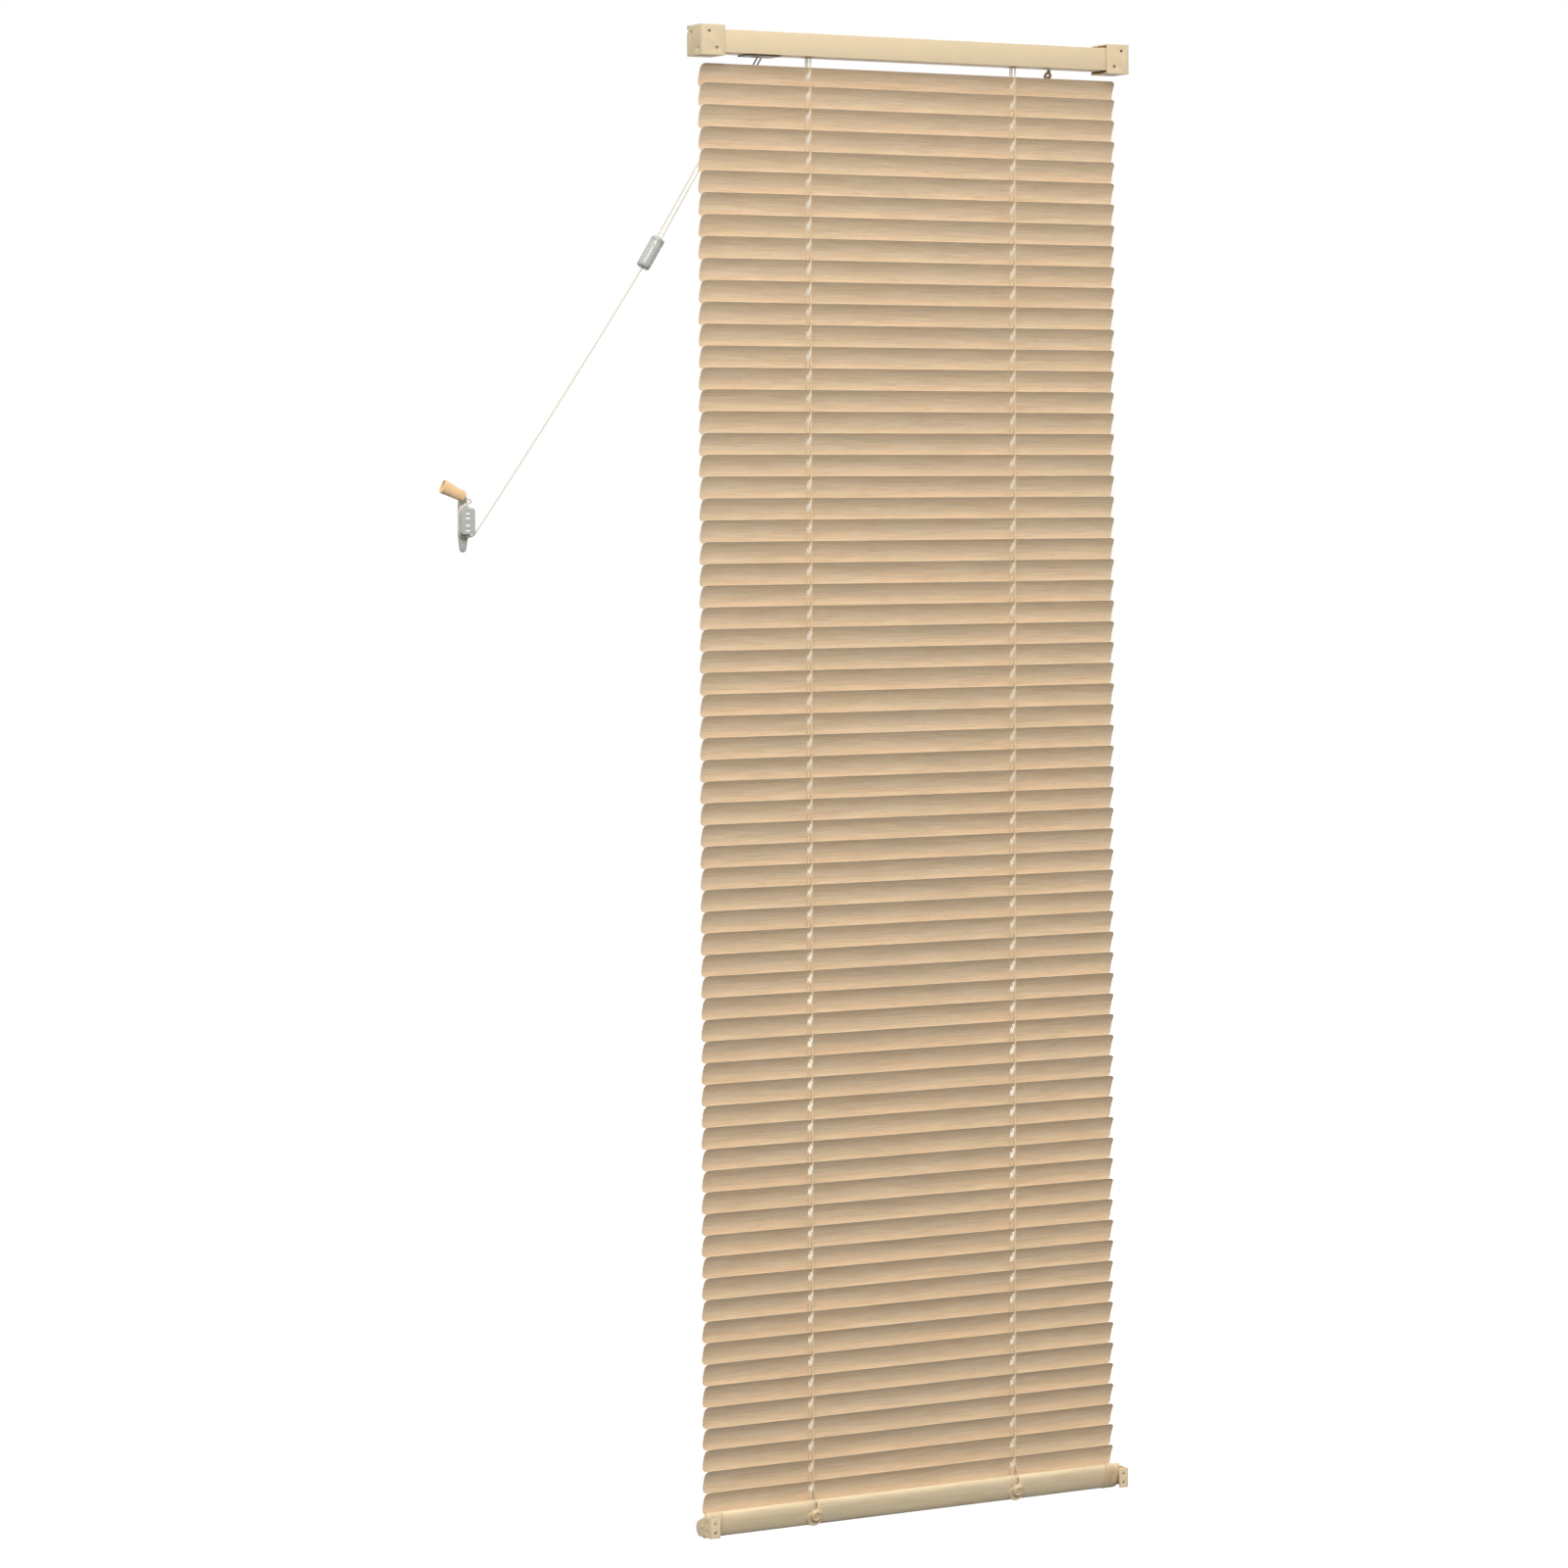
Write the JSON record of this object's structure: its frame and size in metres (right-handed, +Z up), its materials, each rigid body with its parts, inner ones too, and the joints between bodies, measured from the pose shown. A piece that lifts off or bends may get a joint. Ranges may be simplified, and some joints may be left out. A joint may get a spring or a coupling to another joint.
{
  "type": "venetian blind",
  "caption": "Narrow horizontal venetian blind, lowered and closed, with a headrail in box brackets, cord ladders, a bottom rail with hold-downs, a tilt wand and a lift cord on a cleat.",
  "frame": {"origin": "mid-width of the blind, on the wall plane behind the box brackets, level with the tops of the brackets", "axes": "+X along the headrail towards the tilt wand's end, +Y from the wall or window into the room, +Z up"},
  "size_m": [0.7849, 0.038, 1.5035],
  "materials": {
    "cream_paint": "satin cream enamel on folded steel",
    "zinc": "zinc plated steel",
    "white_nylon": "moulded nylon",
    "tan_nylon": "moulded nylon in a wood tone",
    "braid": "braided polyester cord",
    "grained_slat": "thin vinyl strip with a fine printed wood grain along it",
    "grained_rail": "satin vinyl with a printed wood grain",
    "clear_plastic": "translucent greyish plastic",
    "tassel_plastic": "moulded plastic in a wood tone"
  },
  "bodies": {
    "frame": {"headrail": "cream_paint", "left_bracket": "cream_paint", "right_bracket": "cream_paint", "left_hinge_pin": "zinc", "right_hinge_pin": "zinc", "cord_lock_housing": "zinc", "tilter_housing": "white_nylon", "left_drum_cradle": "white_nylon", "right_drum_cradle": "white_nylon", "left_lift_cord": "braid", "right_lift_cord": "braid", "left_ladder_back": "braid", "right_ladder_back": "braid", "left_cord_run": "braid", "right_cord_run": "braid", "slats_01_07": "grained_slat", "left_pull_cord": "braid", "right_pull_cord": "braid", "condenser_body": "clear_plastic", "condenser_cap": "clear_plastic", "tail_cord": "braid", "cord_wraps": "braid", "tassel_cord": "braid", "tassel": "tassel_plastic", "cleat": "clear_plastic", "left_hold_down": "cream_paint", "right_hold_down": "cream_paint", "left_hold_down_pin": "cream_paint", "right_hold_down_pin": "cream_paint"},
    "left_door": {"left_bracket_door": "cream_paint"},
    "right_door": {"right_bracket_door": "cream_paint"},
    "lock_brake": {"lock_brake_roller": "zinc"},
    "lock_guide": {"lock_guide_roller": "white_nylon"},
    "tilt_shaft": {"tilt_rod": "zinc", "tilt_gear": "white_nylon", "left_tilt_drum": "white_nylon", "right_tilt_drum": "white_nylon"},
    "tilt_worm": {"tilt_worm": "tan_nylon"},
    "wand_swivel": {"hook_sleeve": "clear_plastic"},
    "wand": {"wand_hook": "zinc", "wand": "clear_plastic", "wand_tip": "clear_plastic"},
    "lift_carriage": {"left_cord_knot": "braid", "right_cord_knot": "braid"},
    "bottom_rail": {"bottom_rail": "grained_rail", "left_end_cap": "grained_rail", "right_end_cap": "grained_rail", "left_rail_plug": "grained_rail", "right_rail_plug": "grained_rail"},
    "section_02": {"slats_08_14": "grained_slat"},
    "section_03": {"slats_15_21": "grained_slat"},
    "section_04": {"slats_22_28": "grained_slat"},
    "section_05": {"slats_29_35": "grained_slat"},
    "section_06": {"slats_36_42": "grained_slat"},
    "section_07": {"slats_43_49": "grained_slat"},
    "section_08": {"slats_50_56": "grained_slat"},
    "section_09": {"slats_57_63": "grained_slat"},
    "section_10": {"slats_64_67": "grained_slat"}
  },
  "joints": [
    {"name": "lift", "type": "slide", "parent": "frame", "child": "lift_carriage", "axis": [0, 0, 1], "range_m": [0, 1.272], "deforming": ["left_ladder_back", "left_lift_cord", "right_ladder_back", "right_lift_cord", "slats_08_14", "slats_15_21", "slats_22_28", "slats_29_35", "slats_36_42", "slats_43_49", "slats_50_56", "slats_57_63", "slats_64_67"]},
    {"name": "wand_swing", "type": "hinge", "parent": "frame", "child": "wand_swivel", "pos_m": [0.172, 0.03437, -0.03572], "axis": [1, 0, 0], "range_deg": [0, 46]},
    {"name": "wand_turn", "type": "hinge", "parent": "wand_swivel", "child": "wand", "pos_m": [0.172, 0.03437, -0.03572], "axis": [0, 0, 1], "range_deg": [0, 852]},
    {"name": "worm_turn", "type": "hinge", "parent": "frame", "child": "tilt_worm", "pos_m": [0.172, 0.033, -0.0325], "axis": [0, -0.3907, 0.9205], "range_deg": [0, 852]},
    {"name": "shaft_tilt", "type": "hinge", "parent": "frame", "child": "tilt_shaft", "pos_m": [0, 0.0155, -0.013], "axis": [1, 0, 0], "range_deg": [0, 71]},
    {"name": "rail_tilt", "type": "hinge", "parent": "lift_carriage", "child": "bottom_rail", "pos_m": [0, 0.0182, -1.4898], "axis": [1, 0, 0], "range_deg": [0, 71]},
    {"name": "left_door_hinge", "type": "hinge", "parent": "frame", "child": "left_door", "pos_m": [-0.2368, 0.0283, -0.0022], "axis": [1, 0, 0], "range_deg": [0, 100]},
    {"name": "right_door_hinge", "type": "hinge", "parent": "frame", "child": "right_door", "pos_m": [0.2368, 0.0283, -0.0022], "axis": [1, 0, 0], "range_deg": [0, 100]},
    {"name": "brake_slide", "type": "slide", "parent": "frame", "child": "lock_brake", "axis": [1, 0, 0], "range_m": [0, 0.0032]},
    {"name": "guide_roll", "type": "hinge", "parent": "frame", "child": "lock_guide", "pos_m": [-0.163, 0.02365, -0.0173], "axis": [0, 1, 0], "continuous": true},
    {"name": "section_02_lift", "type": "slide", "parent": "frame", "child": "section_02", "axis": [0, 0, 1], "range_m": [0, 0.14654]},
    {"name": "section_03_lift", "type": "slide", "parent": "frame", "child": "section_03", "axis": [0, 0, 1], "range_m": [0, 0.29553]},
    {"name": "section_04_lift", "type": "slide", "parent": "frame", "child": "section_04", "axis": [0, 0, 1], "range_m": [0, 0.44452]},
    {"name": "section_05_lift", "type": "slide", "parent": "frame", "child": "section_05", "axis": [0, 0, 1], "range_m": [0, 0.59351]},
    {"name": "section_06_lift", "type": "slide", "parent": "frame", "child": "section_06", "axis": [0, 0, 1], "range_m": [0, 0.7425]},
    {"name": "section_07_lift", "type": "slide", "parent": "frame", "child": "section_07", "axis": [0, 0, 1], "range_m": [0, 0.89149]},
    {"name": "section_08_lift", "type": "slide", "parent": "frame", "child": "section_08", "axis": [0, 0, 1], "range_m": [0, 1.04048]},
    {"name": "section_09_lift", "type": "slide", "parent": "frame", "child": "section_09", "axis": [0, 0, 1], "range_m": [0, 1.18947]},
    {"name": "section_10_lift", "type": "slide", "parent": "frame", "child": "section_10", "axis": [0, 0, 1], "range_m": [0, 1.33846]}
  ],
  "couplings": [
    {"joint": "worm_turn", "follows": "wand_turn", "ratio": 1},
    {"joint": "shaft_tilt", "follows": "wand_turn", "ratio": 0.083333},
    {"joint": "rail_tilt", "follows": "wand_turn", "ratio": 0.083333},
    {"joint": "section_02_lift", "follows": "lift", "ratio": 0.11481},
    {"joint": "section_03_lift", "follows": "lift", "ratio": 0.23194},
    {"joint": "section_04_lift", "follows": "lift", "ratio": 0.34907},
    {"joint": "section_05_lift", "follows": "lift", "ratio": 0.4662},
    {"joint": "section_06_lift", "follows": "lift", "ratio": 0.58333},
    {"joint": "section_07_lift", "follows": "lift", "ratio": 0.70046},
    {"joint": "section_08_lift", "follows": "lift", "ratio": 0.81759},
    {"joint": "section_09_lift", "follows": "lift", "ratio": 0.93473},
    {"joint": "section_10_lift", "follows": "lift", "ratio": 1.0519}
  ]
}
